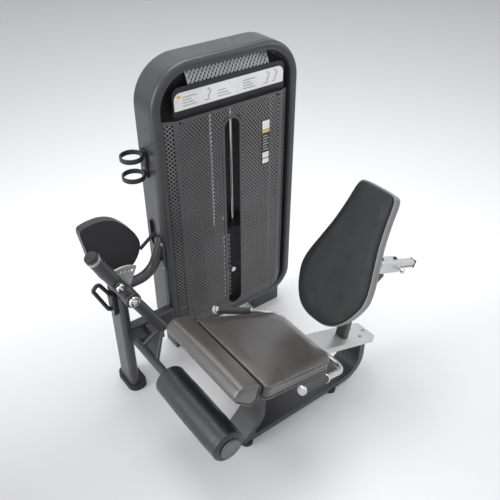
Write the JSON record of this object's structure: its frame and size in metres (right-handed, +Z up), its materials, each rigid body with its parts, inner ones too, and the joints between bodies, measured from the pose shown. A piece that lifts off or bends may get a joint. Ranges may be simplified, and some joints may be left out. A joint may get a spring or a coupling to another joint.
{
  "type": "leg extension machine",
  "caption": "Seated leg extension machine: pivoting leg lever with foam roller, cam and belt to a weight stack in a perforated tower, sloped seat, sliding back pad and side grips.",
  "frame": {"origin": "on the floor under the middle of the machine", "axes": "+Z up; the user sits facing -X; the weight tower is on the +Y side"},
  "size_m": [1.4323, 1.0571, 1.5],
  "materials": {
    "frame_paint": "satin gunmetal powder coat",
    "shroud_paint": "dark satin powder coat on sheet",
    "silver_paint": "silver satin paint",
    "vent_paint": "light grey perforated sheet",
    "chrome": "polished chrome",
    "steel": "ground steel",
    "cast_iron": "black oxide",
    "black_plastic": "fine textured moulding",
    "rubber": "matt",
    "belt": "ribbed flat belt",
    "grip": "fine ribbed grip",
    "leather": "grained upholstery",
    "back_leather": "fine satin upholstery",
    "roller_skin": "smooth foam skin",
    "white_card": "gloss card"
  },
  "bodies": {
    "frame": {"tower_frame": "frame_paint", "front_shroud": "shroud_paint", "rear_cover": "shroud_paint", "header_panel": "black_plastic", "title_panel": "black_plastic", "placard": "white_card", "vent_plate": "vent_paint", "guide_rod_left": "chrome", "guide_rod_right": "chrome", "stack_base": "black_plastic", "pulley_bridge": "cast_iron", "idler_bracket": "cast_iron", "resting_plates": "cast_iron", "drive_belt": "belt", "cam_belt": "belt", "stack_belt": "belt", "cup_holder": "black_plastic", "main_post": "frame_paint", "post_foot": "rubber", "brace_tube": "frame_paint", "side_beam": "frame_paint", "stop_bumper": "rubber", "seat_link": "frame_paint", "post_handle_block": "black_plastic", "seat_base": "frame_paint", "front_foot": "rubber", "rear_foot": "rubber", "seat_rail": "silver_paint", "seat_pad": "leather", "seat_board": "black_plastic", "thigh_pad": "leather", "thigh_bracket": "frame_paint", "handle_left": "chrome", "handle_right": "chrome", "grip_left": "grip", "grip_right": "grip", "back_mast": "frame_paint"},
    "cam": {"cam": "black_plastic", "cam_shaft": "steel", "range_sector": "steel"},
    "lever": {"counterweight_arm": "frame_paint", "counterweight_cap": "black_plastic", "pivot_cap": "chrome", "lower_arm": "frame_paint", "roller_axle": "frame_paint"},
    "range_pin": {"range_pin": "chrome"},
    "roller": {"roller_core": "black_plastic", "roller_pad": "roller_skin", "roller_hub": "black_plastic"},
    "carriage": {"lifted_plates": "cast_iron", "top_plate": "cast_iron", "selector_stem": "steel"},
    "selector_pin": {"selector_pin": "chrome"},
    "idler_pulley": {"idler_pulley": "black_plastic"},
    "top_pulley_left": {"top_pulley_left": "black_plastic"},
    "top_pulley_right": {"top_pulley_right": "black_plastic"},
    "back_rest": {"back_pad": "back_leather", "back_shell": "black_plastic", "back_slider": "silver_paint"},
    "pop_pin": {"pop_pin": "chrome"}
  },
  "joints": [
    {"name": "leg_lift", "type": "hinge", "parent": "frame", "child": "cam", "pos_m": [-0.56, 0.235, 0.63], "axis": [0, 1, 0], "range_deg": [0, 100], "deforming": ["cam_belt"]},
    {"name": "start_position", "type": "hinge", "parent": "cam", "child": "lever", "pos_m": [-0.56, 0.235, 0.63], "axis": [0, 1, 0], "range_deg": [0, 45]},
    {"name": "range_pin_pull", "type": "slide", "parent": "lever", "child": "range_pin", "axis": [0, -1, 0], "range_m": [0, 0.012], "stiffness_N_per_m": 900, "springref_m": -0.002},
    {"name": "roller_spin", "type": "hinge", "parent": "lever", "child": "roller", "pos_m": [-0.535, -0.218, 0.316], "axis": [0, 1, 0], "continuous": true},
    {"name": "stack_lift", "type": "slide", "parent": "frame", "child": "carriage", "axis": [0, 0, 1], "range_m": [0, 0.27], "deforming": ["stack_belt"]},
    {"name": "selector_pin_pull", "type": "slide", "parent": "carriage", "child": "selector_pin", "axis": [0, -1, 0], "range_m": [0, 0.045]},
    {"name": "idler_spin", "type": "hinge", "parent": "frame", "child": "idler_pulley", "pos_m": [-0.2, 0.468, 0.83], "axis": [0, 1, 0], "range_deg": [0, 380]},
    {"name": "top_left_spin", "type": "hinge", "parent": "frame", "child": "top_pulley_left", "pos_m": [-0.12, 0.468, 1.36], "axis": [0, 1, 0], "range_deg": [-380, 0]},
    {"name": "top_right_spin", "type": "hinge", "parent": "frame", "child": "top_pulley_right", "pos_m": [0.038, 0.468, 1.36], "axis": [0, 1, 0], "range_deg": [-380, 0]},
    {"name": "back_slide", "type": "slide", "parent": "frame", "child": "back_rest", "axis": [-0.9304, 0, 0.3665], "range_m": [0, 0.0925]},
    {"name": "pop_pin_pull", "type": "slide", "parent": "frame", "child": "pop_pin", "axis": [0, -1, 0], "range_m": [0, 0.01], "stiffness_N_per_m": 900, "springref_m": -0.002}
  ],
  "couplings": [
    {"joint": "stack_lift", "follows": "leg_lift", "m_per_rad": 0.15},
    {"joint": "idler_spin", "follows": "leg_lift", "ratio": 3.75},
    {"joint": "top_left_spin", "follows": "leg_lift", "ratio": -3.75},
    {"joint": "top_right_spin", "follows": "leg_lift", "ratio": -3.75}
  ]
}
